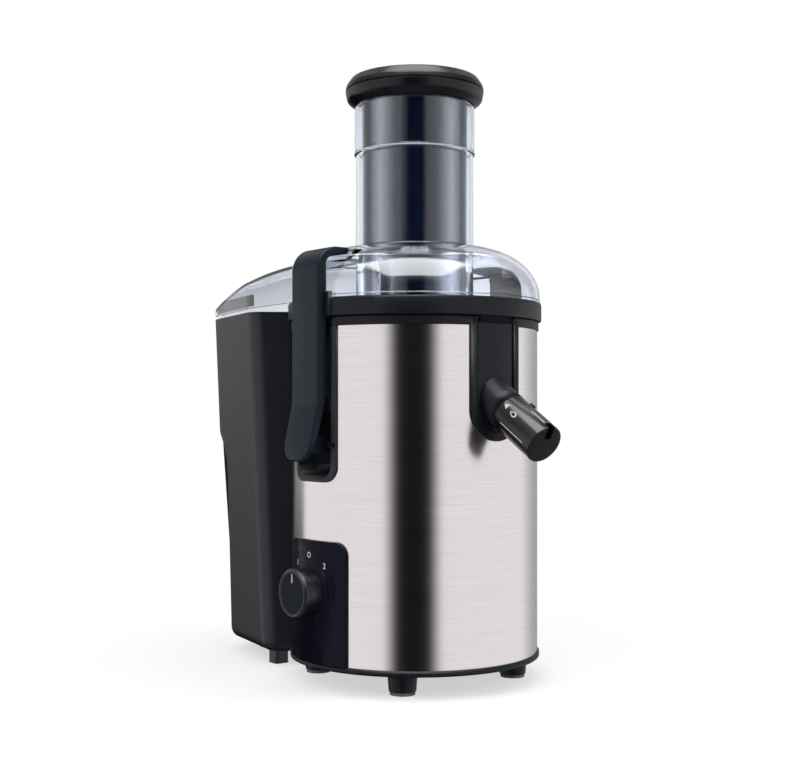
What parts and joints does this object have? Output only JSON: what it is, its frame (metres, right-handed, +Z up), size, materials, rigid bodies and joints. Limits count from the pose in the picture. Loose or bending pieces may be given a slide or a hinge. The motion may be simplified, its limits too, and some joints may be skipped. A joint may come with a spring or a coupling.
{
  "type": "centrifugal juicer",
  "caption": "Upright juicer with a steel-clad motor base, spinning filter basket, clear domed lid with feed chute and pusher, side pulp bin, drip-stop spout and locking arms.",
  "frame": {"origin": "on the bench, under the middle of the outline; the drive axis stands 31.016 mm from it along +X", "axes": "+Z up along the drive axis, +X towards the juice spout, -X towards the pulp bin, -Y towards the speed dial"},
  "size_m": [0.3252, 0.1957, 0.404],
  "materials": {
    "black_plastic": "satin moulded",
    "well_plastic": "satin moulded",
    "bowl_plastic": "satin moulded",
    "arm_plastic": "satin moulded",
    "bin_plastic": "satin moulded",
    "panel_plastic": "polished",
    "switch_plastic": "moulded",
    "coupling_plastic": "moulded",
    "capacitor_plastic": "potted",
    "clear_plastic": "clear, polished",
    "smoked_plastic": "smoked, polished",
    "pointer_paint": "printed",
    "brushed_sleeve_steel": "brushed round the sleeve",
    "sieve_steel": "etched sheet",
    "plated_steel": "zinc plated",
    "bearing_steel": "ground",
    "lamination_steel": "stacked sheet",
    "cast_aluminium": "die-cast",
    "winding_copper": "enamelled copper wire",
    "winding_brass": "stamped",
    "carbon": "pressed carbon",
    "pad_rubber": "moulded",
    "seal_rubber": "moulded"
  },
  "bodies": {
    "base": {"base_plate": "black_plastic", "foot_pads": "pad_rubber", "base_screws": "plated_steel", "motor_housing": "black_plastic", "steel_sleeve": "brushed_sleeve_steel", "housing_trim": "black_plastic", "front_arm_well": "well_plastic", "rear_arm_well": "well_plastic", "front_arm_pin": "plated_steel", "rear_arm_pin": "plated_steel", "cord_gland": "black_plastic", "control_panel": "panel_plastic", "rotary_switch": "switch_plastic", "filter_bowl": "bowl_plastic", "spout_seal": "seal_rubber", "shaft_seal": "seal_rubber", "lid": "clear_plastic", "feed_chute": "clear_plastic", "juice_spout": "bowl_plastic", "motor_deck": "black_plastic", "hood_seal": "seal_rubber", "motor_stator": "lamination_steel", "stator_coils": "winding_copper", "motor_bracket_upper": "cast_aluminium", "motor_bracket_lower": "cast_aluminium", "upper_bearing": "bearing_steel", "lower_bearing": "bearing_steel", "motor_bolts": "plated_steel", "motor_mounts": "seal_rubber", "brush_holders": "winding_brass", "carbon_brushes": "carbon", "interlock_switches": "switch_plastic", "suppression_capacitor": "capacitor_plastic"},
    "basket_drive": {"motor_shaft": "bearing_steel", "armature_core": "lamination_steel", "armature_windings": "winding_copper", "commutator": "winding_copper", "cooling_fan": "switch_plastic", "drive_coupling": "coupling_plastic", "filter_hub": "coupling_plastic", "grating_disc": "sieve_steel", "filter_mesh": "sieve_steel", "filter_rim": "coupling_plastic"},
    "front_arm": {"front_arm": "arm_plastic"},
    "rear_arm": {"rear_arm": "arm_plastic"},
    "dial": {"speed_knob": "black_plastic", "knob_pointer": "pointer_paint", "switch_shaft": "switch_plastic"},
    "nozzle": {"spout_nozzle": "bowl_plastic"},
    "pusher": {"pusher_body": "smoked_plastic", "pusher_cap": "black_plastic"},
    "bin": {"pulp_bin": "bin_plastic"}
  },
  "joints": [
    {"name": "basket_spin", "type": "hinge", "parent": "base", "child": "basket_drive", "pos_m": [0.03102, 0, 0.1555], "axis": [0, 0, 1], "continuous": true},
    {"name": "front_arm_swing", "type": "hinge", "parent": "base", "child": "front_arm", "pos_m": [0.03102, -0.0796, 0.1555], "axis": [1, 0, 0], "range_deg": [0, 70]},
    {"name": "rear_arm_swing", "type": "hinge", "parent": "base", "child": "rear_arm", "pos_m": [0.03102, 0.0796, 0.1555], "axis": [-1, 0, 0], "range_deg": [0, 70]},
    {"name": "speed_dial_turn", "type": "hinge", "parent": "base", "child": "dial", "pos_m": [0.03102, -0.09, 0.062], "axis": [0, -1, 0], "range_deg": [-38.5, 38.5]},
    {"name": "nozzle_turn", "type": "hinge", "parent": "base", "child": "nozzle", "pos_m": [0.15642, 0, 0.1567], "axis": [0.8508, 0, -0.5255], "range_deg": [0, 180]},
    {"name": "pusher_lift", "type": "slide", "parent": "base", "child": "pusher", "axis": [0, 0, 1], "range_m": [0, 0.2]},
    {"name": "bin_slide", "type": "slide", "parent": "base", "child": "bin", "axis": [-1, 0, 0], "range_m": [0, 0.13]}
  ]
}
